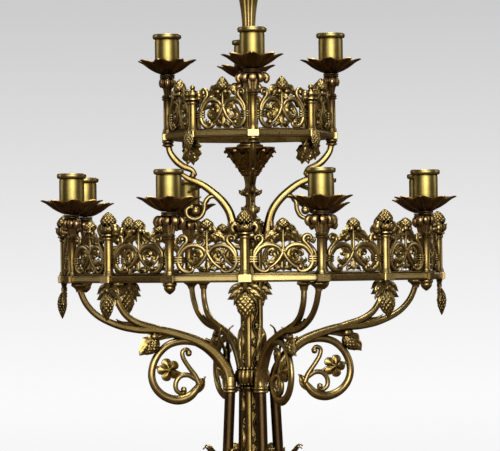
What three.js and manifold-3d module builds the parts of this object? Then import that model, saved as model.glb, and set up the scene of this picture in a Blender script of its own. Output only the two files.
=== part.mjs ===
// A thirteen-light Gothic revival brass candelabra: two pierced crown galleries carried by scroll arms
// round a central column, with a candle sconce screwed on every candle post.
// Millimetres, +Z up, origin on the table under the column. Angle 0 is the front, towards -Y, and
// angles grow towards +X.

import * as THREE from 'three';
import { mergeVertices } from 'three/addons/utils/BufferGeometryUtils.js';
import Module from 'manifold-3d';

const wasm = await Module();
wasm.setup();

// ---------------------------------------------------------------- driving dimensions

const GAP = 0.3; // working gap between two pieces that touch

// Galleries: the radius is that of the posts, which stand on the corners of a regular polygon.
// The upper gallery stands turned a few degrees on the column.
const LOWER = { corners: 16, radius: 196, turn: 0, railBottom: 378.8, railTop: 386, seat: 448.8 };
const UPPER = { corners: 8, radius: 86, turn: 4, railBottom: 527, railTop: 534, seat: 596 };
const RAIL_IN = 7; // how far a rail reaches inside its posts' radius
const RAIL_OUT = 6; // and outside it
const SPIGOT_R = 2.4; // the posts' ends, which pass through the rails
const HOLE_R = 3; // corner radius of the rails' six-sided holes
const SHAFT_R = 4.6;
const POST_SIDES = 6;
const PANEL_THICK = 4;

// Central stack
const BORE_R = 4.5;
const NUT_BORE_R = 5.2; // corner radius of the nut's six-sided bore
const ROD_R = 4;
const BASE_TOP = 170;
const CROWN_DECK = 194;
const COLUMN_R = 12;
const COLUMN_TOP = 442;
const COLLAR = { bottom: 270, top: 289, radius: 19.1 };
const SPINDLE_TOP = 489;
const CALYX = { top: 519, radius: 29 };
const STEM_SEAT = 700;
const ROD_BOTTOM = 112;
const ROD_TOP = 640;

// Stay rods and arms
const ARM_ANGLES = [22.5, 112.5, 202.5, 292.5];
const UPPER_ARM_ANGLES = [0, 90, 180, 270]; // before the upper gallery's turn, and the feet's angles
const STAY_R = 5.5;
const FLANGE_R = 188.5; // radius at which an arm's outer branch meets the lower rail
const STAY_TOP = { r: 25, z: 264.5 };
const STAY_FOOT = { r: 29, z: 186.5 };
// Seats on the lower rail for the arms' inner branches
const LUG = { inner: 140, bottom: LOWER.railBottom, top: LOWER.railBottom + 5, width: 13 };
const UPPER_COLLAR = { radius: 6.2, height: 6.2 }; // top of each upper arm, under the rail

// Sconce, measured up from its seat on the post
const SCONCE = { hole: 2.8, floor: 12, bore: 11.4, body: 13.4, rim: 15.7, pan: 33, height: 42.4, sides: 8 };
const STUD_R = 2.5;
const STUD_HEIGHT = 11;

// Base
const FOOT = { inner: 92, outer: 120, width: 26, height: 27 };
const LOBES = 0.07; // depth of the base's four lobes as a share of its radius

// ---------------------------------------------------------------- materials

const brass = (color, roughness) => new THREE.MeshStandardMaterial({ color, roughness, metalness: 1 });
const POLISHED = brass(0xb8923f, 0.25);
const CAST = brass(0x8a6a2a, 0.4);
const DARK = brass(0x4a3418, 0.45);
const STEEL = brass(0x8d8d88, 0.4);

// ---------------------------------------------------------------- solids

const degrees = THREE.MathUtils.degToRad;

function signedVolume(geometry) {
  const p = geometry.attributes.position;
  const [a, b, c] = [new THREE.Vector3(), new THREE.Vector3(), new THREE.Vector3()];
  let volume = 0;
  for (let i = 0; i < geometry.index.count; i += 3) {
    a.fromBufferAttribute(p, geometry.index.getX(i));
    b.fromBufferAttribute(p, geometry.index.getX(i + 1));
    c.fromBufferAttribute(p, geometry.index.getX(i + 2));
    volume += a.dot(b.cross(c)) / 6;
  }
  return volume;
}

// A three.js geometry as a manifold solid that faces outwards.
function solid(geometry) {
  const bare = geometry.clone();
  bare.deleteAttribute('normal');
  bare.deleteAttribute('uv');
  const merged = mergeVertices(bare, 1e-4);
  const index = Uint32Array.from(merged.index.array);
  if (signedVolume(merged) < 0) {
    for (let i = 0; i < index.length; i += 3) [index[i], index[i + 1]] = [index[i + 1], index[i]];
  }
  const vertProperties = Float32Array.from(merged.attributes.position.array);
  return new wasm.Manifold(new wasm.Mesh({ numProp: 3, vertProperties, triVerts: index }));
}

const join = (solids) => solids.reduce((whole, next) => whole.add(next));
const cut = (body, tools) => tools.reduce((rest, tool) => rest.subtract(tool), body);

function geometryOf(body) {
  const { vertProperties, triVerts } = body.getMesh();
  const geometry = new THREE.BufferGeometry();
  geometry.setAttribute('position', new THREE.BufferAttribute(vertProperties, 3));
  geometry.setIndex(new THREE.BufferAttribute(triVerts, 1));
  geometry.computeVertexNormals();
  return geometry;
}

// A body turned about the Z axis. profile holds [radius, height] pairs; shape may bend each radius
// by angle and height.
function turned(profile, segments, shape = null) {
  const points = profile.map(([r, z]) => new THREE.Vector2(r, z));
  const last = points[points.length - 1];
  if (points[0].x > 0 || last.x > 0) points.push(points[0].clone());
  const geometry = new THREE.LatheGeometry(points, segments);
  geometry.rotateX(Math.PI / 2);
  if (shape) {
    const p = geometry.attributes.position;
    for (let i = 0; i < p.count; i += 1) {
      const [x, y, z] = [p.getX(i), p.getY(i), p.getZ(i)];
      const k = shape(Math.atan2(x, -y), z, Math.hypot(x, y));
      p.setXY(i, x * k, y * k);
    }
  }
  return geometry;
}

function outline(pairs) {
  return new THREE.Shape(pairs.map(([x, y]) => new THREE.Vector2(x, y)));
}

function ring(cx, cy, radius, sides, turn = 0) {
  return Array.from({ length: sides }, (_, i) => {
    const angle = turn + (2 * Math.PI * i) / sides;
    return [cx + radius * Math.cos(angle), cy + radius * Math.sin(angle)];
  });
}

// A flat piece drawn in X and Y, with its thickness centred on Z.
function plate(pairs, thickness, holes = []) {
  const shape = outline(pairs);
  shape.holes = holes.map((hole) => new THREE.Path(outline(hole).getPoints()));
  const geometry = new THREE.ExtrudeGeometry(shape, { depth: thickness, bevelEnabled: false });
  return geometry.translate(0, 0, -thickness / 2);
}

// A round bar along a smooth curve through [x, y] points in the drawing plane.
function bar(pairs, radius, steps, sides = 5) {
  const path = new THREE.CatmullRomCurve3(pairs.map(([x, y]) => new THREE.Vector3(x, y, 0)));
  const section = outline(ring(0, 0, radius, sides));
  return new THREE.ExtrudeGeometry(section, { steps, extrudePath: path, bevelEnabled: false });
}

// Moves a drawing into the radial plane at this angle: X outwards, Y up.
function radial(geometry, angle) {
  const a = degrees(angle);
  const out = new THREE.Vector3(Math.sin(a), -Math.cos(a), 0);
  const up = new THREE.Vector3(0, 0, 1);
  const basis = new THREE.Matrix4().makeBasis(out, up, new THREE.Vector3().crossVectors(out, up));
  return geometry.clone().applyMatrix4(basis);
}

// Moves a drawing into the plane that faces outwards at this angle and radius: X to the right, Y up.
function facing(geometry, angle, radius) {
  const a = degrees(angle);
  const right = new THREE.Vector3(Math.cos(a), Math.sin(a), 0);
  const up = new THREE.Vector3(0, 0, 1);
  const out = new THREE.Vector3().crossVectors(right, up);
  const basis = new THREE.Matrix4().makeBasis(right, up, out);
  basis.setPosition(out.clone().multiplyScalar(radius));
  return geometry.clone().applyMatrix4(basis);
}

// Moves a turned body from the Z axis to a post at this angle and radius.
function onPost(geometry, angle, radius) {
  const a = degrees(angle);
  return geometry.clone().rotateZ(a).translate(radius * Math.sin(a), -radius * Math.cos(a), 0);
}

// ---------------------------------------------------------------- the object

const candelabra = new THREE.Group();

function addNode(name, body, material) {
  const mesh = new THREE.Mesh(geometryOf(body), material);
  mesh.name = name;
  candelabra.add(mesh);
}

// ---------------------------------------------------------------- base

function makeBase() {
  const outside = [
    [108, 20], [112, 22], [112, 31], [103, 36], [90, 42], [70, 58], [50, 80], [37, 106], [31, 126],
    [37, 133], [37, 141], [27, 148], [26, 160], [33, 166], [33, BASE_TOP], [BORE_R, BASE_TOP],
  ];
  const inside = [[BORE_R, 130], [25, 124], [34, 98], [55, 63], [86, 38], [100, 20]];
  const lobed = (angle, z, r) => 1 + (r > 60 ? LOBES * Math.cos(4 * angle) : 0);
  const dome = solid(turned([...outside, ...inside], 16, lobed));
  const side = [
    [FOOT.inner, 12], [FOOT.inner + 6, 0], [FOOT.outer - 2, 0], [FOOT.outer, 6], [FOOT.outer - 4, 14],
    [FOOT.outer - 8, FOOT.height], [FOOT.inner + 2, FOOT.height],
  ];
  const feet = UPPER_ARM_ANGLES.map((angle) => solid(radial(plate(side, FOOT.width), angle)));
  addNode('base_casting', join([dome, ...feet]), CAST);
}

function makeBaseCrown() {
  const profile = [
    [BORE_R, BASE_TOP + GAP], [24, BASE_TOP + GAP], [28, 180], [38, 190], [52, 203], [53, 207],
    [44, 203], [38, CROWN_DECK], [BORE_R, CROWN_DECK],
  ];
  const leaves = (angle, z, r) => 1 + (r > 42 ? 0.08 * Math.cos(8 * angle) : 0);
  const [holeBottom, holeTop, holeRadius] = [STAY_FOOT.z - GAP, CROWN_DECK + 6, STAY_R + 1.2];
  const hole = turned([[0, holeBottom], [holeRadius, holeBottom], [holeRadius, holeTop], [0, holeTop]], 10);
  const sockets = ARM_ANGLES.map((angle) => solid(onPost(hole, angle, STAY_FOOT.r)));
  addNode('base_crown', cut(solid(turned(profile, 16, leaves)), sockets), CAST);
}

function makeTieRod() {
  const profile = [[0, ROD_BOTTOM], [ROD_R, ROD_BOTTOM], [ROD_R, ROD_TOP], [0, ROD_TOP]];
  addNode('tie_rod', solid(turned(profile, 10)), STEEL);
  const nut = turned([[NUT_BORE_R, 116], [11, 116], [11, 123.6], [NUT_BORE_R, 123.6]], 6);
  addNode('base_nut', solid(nut), STEEL);
}

// ---------------------------------------------------------------- column and central ornaments

function makeColumn() {
  const profile = [
    [BORE_R, CROWN_DECK + GAP], [16, CROWN_DECK + GAP], [16, 198], [COLUMN_R, 203],
    [COLUMN_R, COLLAR.bottom - 3], [14.4, COLLAR.bottom - 1], [14.4, COLLAR.bottom - GAP],
    [COLUMN_R - 1, COLLAR.bottom - GAP], [COLUMN_R - 1, COLUMN_TOP - 6], [15, COLUMN_TOP - 2],
    [15, COLUMN_TOP], [BORE_R, COLUMN_TOP],
  ];
  addNode('main_column', solid(turned(profile, 12)), CAST);
}

// The gadrooned collar that the arms bear on.
function makeArmCollar() {
  const inner = COLUMN_R - 1 + GAP;
  const middle = (COLLAR.bottom + COLLAR.top) / 2;
  const profile = [
    [inner, COLLAR.bottom], [16, COLLAR.bottom], [COLLAR.radius, middle - 3], [COLLAR.radius, middle + 3],
    [15, COLLAR.top], [inner, COLLAR.top],
  ];
  addNode('arm_collar', solid(turned(profile, 16)), CAST);
}

function makeSpindle() {
  const bottom = COLUMN_TOP + GAP;
  const profile = [
    [BORE_R, bottom], [10, bottom], [6.5, bottom + 5], [6.5, 449], [11.5, 454], [7, 458], [6.2, 466],
    [12.5, 472], [7, 476], [6.5, SPINDLE_TOP], [BORE_R, SPINDLE_TOP],
  ];
  addNode('upper_spindle', solid(turned(profile, 10)), CAST);
}

function makeCalyx() {
  const bottom = SPINDLE_TOP + GAP;
  const profile = [
    [BORE_R, bottom], [9, bottom], [12, 497], [20, 508], [CALYX.radius, 513], [CALYX.radius, CALYX.top],
    [BORE_R, CALYX.top],
  ];
  const leaves = (angle, z, r) => 1 + (r > 15 ? 0.05 * Math.cos(8 * angle) : 0);
  addNode('calyx', solid(turned(profile, 16, leaves)), CAST);
}

function makeStem() {
  const bottom = CALYX.top + GAP;
  const profile = [
    [BORE_R, bottom], [14, bottom], [14, 524], [7, 530], [6.2, 600], [6.8, 646], [9.7, 673], [15.5, 688],
    [15.5, 692], [8, 695], [8, STEM_SEAT], [STUD_R, STEM_SEAT], [STUD_R, STEM_SEAT + STUD_HEIGHT],
    [0, STEM_SEAT + STUD_HEIGHT], [0, ROD_TOP + GAP], [BORE_R, ROD_TOP + GAP],
  ];
  const points = [...profile, profile[0]].map(([r, z]) => new THREE.Vector2(r, z));
  const body = new THREE.LatheGeometry(points, 12);
  addNode('fluted_stem', solid(body.rotateX(Math.PI / 2)), POLISHED);
}

// ---------------------------------------------------------------- stay rods and scroll arms

function makeStayRod(number, angle) {
  const foot = new THREE.Vector3(STAY_FOOT.r, STAY_FOOT.z, 0);
  const top = new THREE.Vector3(STAY_TOP.r, STAY_TOP.z, 0);
  const section = outline(ring(0, 0, STAY_R, 10));
  const path = new THREE.LineCurve3(foot, top);
  const rod = new THREE.ExtrudeGeometry(section, { steps: 1, extrudePath: path, bevelEnabled: false });
  addNode(`stay_rod_${number}`, solid(radial(rod, angle)), DARK);
}

// Everything above this height, to trim an arm flat under the rail it carries.
function above(height) {
  const [reach, top] = [260, height + 60];
  return solid(turned([[0, height], [reach, height], [reach, top], [0, top]], 8));
}

// One planar casting: a socket over its stay rod, a stem that forks into two branches under the
// lower gallery, and a big volute with a flower, an inner hook and grapes.
function makeScrollArm(number, angle) {
  const stem = [
    [25, 266], [27.5, 280], [33.5, 292], [43.5, 305], [57, 315.5], [76, 323], [101, 328.5],
    [125, 329.5], [147, 334], [168, 343], [182, 356], [FLANGE_R, 376],
  ];
  const branch = [[101, 330], [124, 335.5], [136.5, 343], [144, 352], [148, 362], [148.5, 379]];
  const volute = [
    [47, 309], [76, 316.5], [91, 314], [102, 305], [109, 293.5], [111.5, 282], [107.5, 269],
    [98, 259], [84, 254], [70.5, 257.5], [62, 267], [58, 276],
  ];
  const hook = [[58.5, 273], [66, 284], [75, 296], [77.5, 306], [72, 315]];
  const curl = [[67, 283], [78, 280], [84, 272], [82, 262]];
  const grapes = [[97, 327], [110, 326], [121, 308], [104, 309]];
  const under = LOWER.railBottom - GAP;
  const flat = [
    bar(stem, 4.3, 13), bar(branch, 3.8, 5), bar(volute, 3.6, 13), bar(hook, 3, 4), bar(curl, 2.6, 3),
    plate(grapes, 7), plate(ring(95, 287, 12.8, 6), 6),
  ];
  const socket = turned([[0, 265], [7.6, 265], [7.6, 270], [5, 276], [0, 276]], 8);
  const flange = turned([[0, under - 5], [8, under - 5], [8, under], [0, under]], 6);
  const pieces = [
    ...flat.map((piece) => solid(radial(piece, angle))), solid(onPost(socket, angle, STAY_TOP.r)),
    solid(onPost(flange, angle, FLANGE_R)),
  ];
  addNode(`scroll_arm_${number}`, join(pieces).subtract(above(under)), CAST);
}

// The S-shaped arm that carries the upper gallery, with its own small volute.
function makeUpperArm(number, angle) {
  const under = UPPER.railBottom - GAP;
  const stem = [
    [UPPER.radius, under + 2], [88.5, 512], [83, 503], [73, 497], [62, 489.5], [50, 480],
    [38, 471], [28, 460], [21, 448], [17.5, 434],
  ];
  const volute = [
    [36, 469.5], [46.5, 464], [49.5, 453], [54, 445.8], [61, 445], [65.5, 450], [63.5, 456.5],
  ];
  const inner = COLUMN_R + GAP;
  const foot = [[inner, 424], [20, 424], [21.5, 436], [inner, 433]];
  const { radius, height } = UPPER_COLLAR;
  const low = under - height;
  const collar = turned([[0, low], [radius, low], [radius, under], [0, under]], POST_SIDES);
  const flat = [bar(stem, 3.6, 13), bar(volute, 2.8, 7), plate(foot, 8)];
  const arm = join(flat.map((piece) => solid(radial(piece, angle))));
  const whole = arm.add(solid(onPost(collar, angle, UPPER.radius)));
  addNode(`upper_arm_${number}`, whole.subtract(above(under)), CAST);
}

// ---------------------------------------------------------------- galleries

const cornerAngle = (gallery, corner) => (360 * corner) / gallery.corners + gallery.turn;

function makeRail(name, gallery, lugs) {
  const { corners, radius, turn, railBottom, railTop } = gallery;
  const middle = (railBottom + railTop) / 2;
  const [inner, outer] = [radius - RAIL_IN, radius + RAIL_OUT];
  const profile = [
    [inner, railBottom], [outer - 2, railBottom], [outer, middle], [outer, railTop], [inner, railTop],
  ];
  const [low, high] = [railBottom - 2, railTop + 2];
  const hole = turned([[0, low], [HOLE_R, low], [HOLE_R, high], [0, high]], 6);
  const holes = Array.from({ length: corners }, (_, i) => {
    return solid(onPost(hole, cornerAngle(gallery, i), radius));
  });
  const seats = lugs.map((angle) => {
    const length = inner + 3 - LUG.inner;
    const lug = new THREE.BoxGeometry(LUG.width, length, LUG.top - LUG.bottom);
    return solid(onPost(lug.translate(0, 0, (LUG.top + LUG.bottom) / 2), angle, LUG.inner + length / 2));
  });
  const frame = turned(profile, corners).rotateZ(degrees(turn));
  addNode(name, cut(join([solid(frame), ...seats]), holes), CAST);
}

// A candle post: drop or plain end, spigot through the rail, shaft, astragal, leafy capital and stud.
function makeCandlePost(name, gallery, angle, drop) {
  const { railBottom, railTop, seat, radius } = gallery;
  const [foot, under] = [railTop + GAP, railBottom - GAP];
  const end = drop
    ? [[0, railBottom - 11.5], [4, railBottom - 8], [6.6, railBottom - 3], [6.6, under], [SPIGOT_R, under]]
    : [[0, railBottom + 1], [SPIGOT_R, railBottom + 1]];
  const profile = [
    ...end, [SPIGOT_R, foot], [SHAFT_R, foot], [SHAFT_R, seat - 26.5], [6.2, seat - 24], [5.4, seat - 20],
    [16, seat - 11], [12, seat - 5], [8.4, seat - 4], [8.4, seat], [STUD_R, seat],
    [STUD_R, seat + STUD_HEIGHT], [0, seat + STUD_HEIGHT],
  ];
  addNode(name, solid(onPost(turned(profile, POST_SIDES), angle, radius)), CAST);
}

// Half of a pierced frieze: one panel with two round scroll openings and a pinecone crest.
function panel(half, near, height, crest) {
  const shoulder = height - 4;
  const edge = [
    [-half, 0], [near, 0], [near, shoulder], [9, height], [7, crest - 9], [0, crest],
    [-7, crest - 9], [-9, height], [-half, shoulder],
  ];
  const eye = height * 0.28;
  const [left, right] = [-half * 0.5, near * 0.48];
  const holes = [ring(left, height * 0.5, eye, 6), ring(right, height * 0.5, eye, 6)];
  return plate(edge, PANEL_THICK, holes);
}

// One frieze casting: two panels either side of a middle post with its finial, and the drop below it.
function makeFret(name, gallery, corner, finial, pendant) {
  const { corners, radius, railTop, railBottom } = gallery;
  const half = 180 / corners;
  const side = radius * Math.sin(degrees(half));
  const apothem = radius * Math.cos(degrees(half));
  const angle = cornerAngle(gallery, corner);
  const height = finial.height;
  const clear = side - SHAFT_R - GAP - 0.6;
  const left = panel(clear, side - 1, height, finial.crest).translate(0, railTop + GAP, 0);
  const right = panel(side - 1, clear, height, finial.crest).translate(0, railTop + GAP, 0);
  const [foot, under] = [railTop + GAP, railBottom - GAP];
  const { wide, neck, tip } = finial;
  const post = turned([
    [0, under - 1], [SPIGOT_R, under - 1], [SPIGOT_R, foot], [SHAFT_R, foot], [SHAFT_R, neck - 6],
    [6, neck - 3], [wide, neck], [wide * 0.55, tip - 7], [0, tip],
  ], POST_SIDES);
  const { width, drop, grape } = pendant;
  const leafSide = [[9, under], [width, under - 8], [width * 0.6, under - 18]];
  const otherSide = leafSide.map(([x, z]) => [-x, z]);
  const leaf = [[0, under - 17], ...leafSide.toReversed(), [0, under], ...otherSide];
  const grapes = turned([
    [0, under - drop], [grape * 0.6, under - drop + 10], [grape, under - 14], [grape * 0.6, under - 4],
    [0, under - 4],
  ], 5);
  const pieces = [
    solid(facing(left, angle - half, apothem)), solid(facing(right, angle + half, apothem)),
    solid(onPost(post, angle, radius)), solid(facing(plate(leaf, 4), angle, radius + 1)),
    solid(onPost(grapes, angle, radius + 1)),
  ];
  addNode(name, join(pieces), CAST);
}

// ---------------------------------------------------------------- sconces

// Pan and candle cup, free to turn on its stud.
function makeSconce(number, angle, radius, seat) {
  const { hole, floor, bore, body, rim, pan, height } = SCONCE;
  const profile = [
    [hole, GAP], [9.5, GAP], [21, 7.5], [pan - 0.6, 15.5], [pan, 17.3], [21, 11], [body, 7.5],
    [body, height - 5.5], [rim, height - 4.5], [rim, height], [bore, height], [bore, floor], [hole, floor],
  ];
  const placed = onPost(turned(profile, SCONCE.sides), angle, radius).translate(0, 0, seat);
  addNode(`sconce_${number}`, solid(placed), POLISHED);
}

// ---------------------------------------------------------------- assembly

makeBase();
makeBaseCrown();
makeTieRod();
makeColumn();
makeArmCollar();
makeSpindle();
makeCalyx();
makeStem();
ARM_ANGLES.forEach((angle, i) => makeStayRod(i + 1, angle));
ARM_ANGLES.forEach((angle, i) => makeScrollArm(i + 1, angle));
UPPER_ARM_ANGLES.forEach((angle, i) => makeUpperArm(i + 1, angle + UPPER.turn));
makeRail('lower_gallery_rail', LOWER, ARM_ANGLES);
makeRail('upper_gallery_rail', UPPER, []);

const LOWER_FINIAL = { height: 34, crest: 56, wide: 11, neck: 433, tip: 450.5 };
const UPPER_FINIAL = { height: 33, crest: 55, wide: 7, neck: 570, tip: 581 };
const VINE_DROP = { width: 19, drop: 38, grape: 8 };
const CONE_DROP = { width: 16, drop: 26, grape: 6 };
for (let i = 0; i < 8; i += 1) {
  const corner = 2 * i;
  makeFret(`lower_fret_${i + 1}`, LOWER, corner, LOWER_FINIAL, VINE_DROP);
  const angle = cornerAngle(LOWER, corner + 1);
  makeCandlePost(`lower_candle_post_${i + 1}`, LOWER, angle, !ARM_ANGLES.includes(angle));
  makeSconce(i + 1, angle, LOWER.radius, LOWER.seat);
}
for (let i = 0; i < 4; i += 1) {
  makeFret(`upper_fret_${i + 1}`, UPPER, 2 * i + 1, UPPER_FINIAL, CONE_DROP);
  const angle = cornerAngle(UPPER, 2 * i);
  makeCandlePost(`upper_candle_post_${i + 1}`, UPPER, angle, false);
  makeSconce(i + 9, angle, UPPER.radius, UPPER.seat);
}
makeSconce(13, 0, 0, STEM_SEAT);

export default candelabra;
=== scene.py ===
import math

import bmesh
import bpy
import numpy as np
from mathutils import Matrix, Vector


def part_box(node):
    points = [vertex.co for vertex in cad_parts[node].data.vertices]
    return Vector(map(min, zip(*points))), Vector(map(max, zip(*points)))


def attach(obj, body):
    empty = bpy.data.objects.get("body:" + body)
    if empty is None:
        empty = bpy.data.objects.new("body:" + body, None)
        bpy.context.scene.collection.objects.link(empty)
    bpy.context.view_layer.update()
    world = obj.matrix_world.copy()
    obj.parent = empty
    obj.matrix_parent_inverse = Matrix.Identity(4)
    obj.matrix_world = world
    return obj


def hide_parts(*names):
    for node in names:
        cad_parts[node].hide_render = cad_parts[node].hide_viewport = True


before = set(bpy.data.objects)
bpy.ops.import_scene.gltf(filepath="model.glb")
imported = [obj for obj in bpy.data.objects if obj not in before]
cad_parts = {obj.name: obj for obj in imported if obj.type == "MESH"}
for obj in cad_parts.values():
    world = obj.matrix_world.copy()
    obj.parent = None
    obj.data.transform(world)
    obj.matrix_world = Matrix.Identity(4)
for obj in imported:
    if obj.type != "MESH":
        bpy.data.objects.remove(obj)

# A thirteen-light Gothic revival brass candelabra, dressed over its CAD frame. Shapes are drawn in
# millimetres and become metres when they are made into meshes. Angle 0 is the front, towards -Y,
# and angles grow towards +X.

MM = 0.001
TAU = 2 * math.pi
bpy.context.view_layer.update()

# ---------------------------------------------------------------- places read from the frame


def box(node):
    """Lowest and highest corner of a CAD node, in millimetres."""
    low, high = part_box(node)
    return np.array(low) / MM, np.array(high) / MM


def middle(node):
    low, high = box(node)
    return (low + high) / 2


def span(node):
    """Heights of a CAD node's bottom and top, in millimetres."""
    low, high = box(node)
    return low[2], high[2]


def end_ring(node, top):
    """Middle of the vertices at the top or the bottom end of a node, in millimetres."""
    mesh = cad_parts[node].data
    points = np.array([v.co[:] for v in mesh.vertices]) / MM
    edge = points[:, 2].max() if top else points[:, 2].min()
    near = points[abs(points[:, 2] - edge) < 1.5]
    return near.mean(axis=0)


def gallery(name, corners):
    """Radius of the posts and heights of the rail and the sconce seats of one gallery."""
    post = middle(f"{name}_candle_post_1")
    bottom, top = span(f"{name}_gallery_rail")
    seat = span({"lower": "sconce_1", "upper": "sconce_9"}[name])[0] - SEAT_GAP
    return {
        "corners": corners, "radius": math.hypot(post[0], post[1]), "bottom": bottom, "top": top,
        "seat": seat, "first": math.degrees(math.atan2(post[0], -post[1])), "step": 360 / corners,
    }


SEAT_GAP = 0.3  # between a sconce and its seat, and between an arm and its rail
LOWER = gallery("lower", 16)
UPPER = gallery("upper", 8)
ARM_ANGLES = [LOWER["first"] + 90 * i for i in range(4)]
UPPER_ARM_ANGLES = [UPPER["first"] + 90 * i for i in range(4)]


def place(angle, radius=0.0, height=0.0):
    """Matrix that takes a piece drawn at the origin, facing -Y, to this angle, radius and height in mm."""
    a = math.radians(angle)
    spot = Vector((radius * math.sin(a), -radius * math.cos(a), height)) * MM
    return Matrix.Translation(spot) @ Matrix.Rotation(a, 4, "Z")


# ---------------------------------------------------------------- mesh tools


class Shape:
    """Closed surfaces in millimetres, gathered to become one mesh."""

    def __init__(self):
        self.verts, self.quads, self.tris, self.count = [], [], [], 0

    def add(self, verts, quads, tris):
        self.verts.append(np.asarray(verts, float).reshape(-1, 3))
        self.quads.append(np.asarray(quads, int) + self.count)
        if len(tris):
            self.tris.append(np.asarray(tris, int) + self.count)
        self.count += len(self.verts[-1])
        return self

    def join(self, other, turn=None):
        """Adds a copy of another shape, moved by a 4 by 4 numpy matrix."""
        points = np.concatenate(other.verts)
        if turn is not None:
            points = points @ turn[:3, :3].T + turn[:3, 3]
        start = self.count
        self.verts.append(points)
        self.quads += [q + start for q in other.quads]
        self.tris += [t + start for t in other.tris]
        self.count += len(points)
        return self

    def mesh(self, name, sharp):
        points = np.concatenate(self.verts) * MM
        faces = [list(map(int, f)) for group in self.quads + self.tris for f in group]
        mesh = bpy.data.meshes.new(name)
        mesh.from_pydata(points.tolist(), [], faces)
        mesh.validate()
        work = bmesh.new()
        work.from_mesh(mesh)
        bmesh.ops.recalc_face_normals(work, faces=work.faces)
        work.to_mesh(mesh)
        work.free()
        mesh.shade_smooth()
        mesh.set_sharp_from_angle(angle=math.radians(sharp))
        return mesh


def moved(x=0.0, y=0.0, z=0.0, turn=0.0, scale=(1, 1, 1)):
    """A 4 by 4 numpy matrix: scale, then turn in degrees about Z, then move."""
    matrix = Matrix.Translation((x, y, z)) @ Matrix.Rotation(math.radians(turn), 4, "Z")
    return np.array(matrix @ Matrix.Diagonal((*scale, 1)))


def lift(height, *points):
    """Points whose second number is counted from this height."""
    return [(x, y + height) for x, y in points]


# Drawings are made in a plane with X to the right or outwards, Y up and Z towards the viewer.
# RADIAL stands one up on the front radius, so that its X points outwards; FACING shows it to the front.
RADIAL = np.array([[0, 0, -1, 0], [-1, 0, 0, 0], [0, 1, 0, 0], [0, 0, 0, 1]], float)
FACING = np.array([[1, 0, 0, 0], [0, 0, -1, 0], [0, 1, 0, 0], [0, 0, 0, 1]], float)


def skin(shape, rings, wrap_rows=False):
    """Faces over a grid of rings whose columns close on themselves."""
    rings = np.asarray(rings, float)
    rows, cols = rings.shape[:2]
    a = np.arange(cols)
    b = (a + 1) % cols
    steps = rows if wrap_rows else rows - 1
    quads = []
    for i in range(steps):
        low, high = i * cols, ((i + 1) % rows) * cols
        quads.append(np.stack([low + a, low + b, high + b, high + a], axis=1))
    verts = rings.reshape(-1, 3)
    tris = []
    if not wrap_rows:
        ends = np.array([rings[0].mean(axis=0), rings[-1].mean(axis=0)])
        verts = np.concatenate([verts, ends])
        first, last = rows * cols, rows * cols + 1
        top = (rows - 1) * cols
        tris = np.concatenate(
            [
                np.stack([np.full(cols, first), b, a], axis=1),
                np.stack([np.full(cols, last), top + a, top + b], axis=1),
            ]
        )
    return shape.add(verts, np.concatenate(quads), tris)


def curve(points, count):
    """Points on a smooth Catmull-Rom curve through the given ones, evenly spaced along it."""
    p = np.array([list(q) + [0.0] * (3 - len(q)) for q in points], float)
    p = np.concatenate([[2 * p[0] - p[1]], p, [2 * p[-1] - p[-2]]])
    t = np.linspace(0, 1, 16, endpoint=False)[:, None]
    parts = []
    for i in range(1, len(p) - 2):
        a, b, c, d = p[i - 1], p[i], p[i + 1], p[i + 2]
        drift, bend, twist = c - a, 2 * a - 5 * b + 4 * c - d, 3 * b - a - 3 * c + d
        parts.append(0.5 * (2 * b + drift * t + bend * t**2 + twist * t**3))
    fine = np.concatenate([*parts, [p[-2]]])
    length = np.concatenate([[0], np.cumsum(np.linalg.norm(np.diff(fine, axis=0), axis=1))])
    want = np.linspace(0, length[-1], count)
    return np.stack([np.interp(want, length, fine[:, k]) for k in range(3)], axis=1)


def steps_between(values, count):
    """The given values stretched to this many, smoothly enough for a radius."""
    values = np.atleast_1d(np.asarray(values, float))
    if len(values) == 1:
        return np.full(count, values[0])
    return np.interp(np.linspace(0, 1, count), np.linspace(0, 1, len(values)), values)


def frames(path):
    """Tangents, normals in the drawing and normals across it, along a curve that lies in the drawing."""
    tangent = np.gradient(path, axis=0)
    tangent /= np.linalg.norm(tangent, axis=1)[:, None] + 1e-12
    across = np.broadcast_to(np.array([0.0, 0.0, 1.0]), path.shape)
    normal = np.cross(across, tangent)
    normal /= np.linalg.norm(normal, axis=1)[:, None] + 1e-12
    return tangent, normal, across


def sweep(shape, points, radius, count, sides=10, flat=1.0, reeds=0, depth=0.12):
    """A bar along a curve. radius may be a list, flat thins it across the drawing and reeds groove it."""
    path = curve(points, count)
    tangent, normal, across = frames(path)
    r = steps_between(radius, count)
    phi = np.arange(sides) * TAU / sides
    groove = 1 + depth * (np.abs(np.cos(phi * reeds / 2)) - 0.6) if reeds else np.ones(sides)
    ring = np.cos(phi)[None, :, None] * normal[:, None] + flat * np.sin(phi)[None, :, None] * across[:, None]
    rings = path[:, None] + r[:, None, None] * groove[None, :, None] * ring
    close = []
    for end, sign in ((0, -1), (-1, 1)):
        extra = [
            path[end] + sign * tangent[end] * r[end] * math.sin(t) + (rings[end] - path[end]) * math.cos(t)
            for t in (0.6, 1.1)
        ]
        close.append(extra[::-1] if sign < 0 else extra)
    return skin(shape, np.concatenate([close[0], rings, close[1]]))


def ball(shape, x, y, z, r, flat=1.0, rows=8, cols=12):
    t = np.linspace(0.15, math.pi - 0.15, rows)
    phi = np.arange(cols) * TAU / cols
    rings = np.stack([
        x + r * np.sin(t)[:, None] * np.cos(phi), y + r * np.sin(t)[:, None] * np.sin(phi),
        z + flat * r * np.cos(t)[:, None] * np.ones(cols),
    ], axis=2)
    return skin(shape, rings)


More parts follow.
